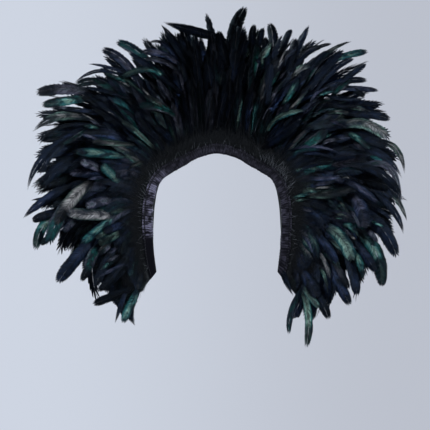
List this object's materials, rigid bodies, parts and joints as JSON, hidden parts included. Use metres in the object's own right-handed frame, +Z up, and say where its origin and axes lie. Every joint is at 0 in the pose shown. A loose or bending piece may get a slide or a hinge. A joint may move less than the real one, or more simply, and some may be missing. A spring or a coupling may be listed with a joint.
{
  "type": "feather cape",
  "caption": "Shoulder cape of black rooster tail feathers that fan out from a gathered satin band round the neck and down both fronts, with elastic arm loops.",
  "frame": {"origin": "inner edge of the gathered band at the nape, where the cape rests behind the neck", "axes": "+X to the right as seen from the front, across the shoulders; +Y to the back; +Z up"},
  "size_m": [0.7996, 0.3346, 0.7276],
  "materials": {
    "feather": "glossy black rooster tail feathers with a green, blue and bronze sheen",
    "satin": "gathered black satin",
    "cloth": "matte black stiffened cloth",
    "elastic": "matte black woven elastic"
  },
  "bodies": {
    "root": {"base_left": "cloth", "base_nape": "cloth", "base_right": "cloth", "band_left": "satin", "band_nape": "satin", "band_right": "satin", "feathers_front_1": "feather", "feathers_front_2": "feather", "feathers_front_3": "feather", "feathers_front_4": "feather", "feathers_back_3": "feather", "feathers_back_2": "feather", "feathers_back_1": "feather", "arm_loop_left": "elastic", "arm_loop_right": "elastic"}
  },
  "joints": []
}
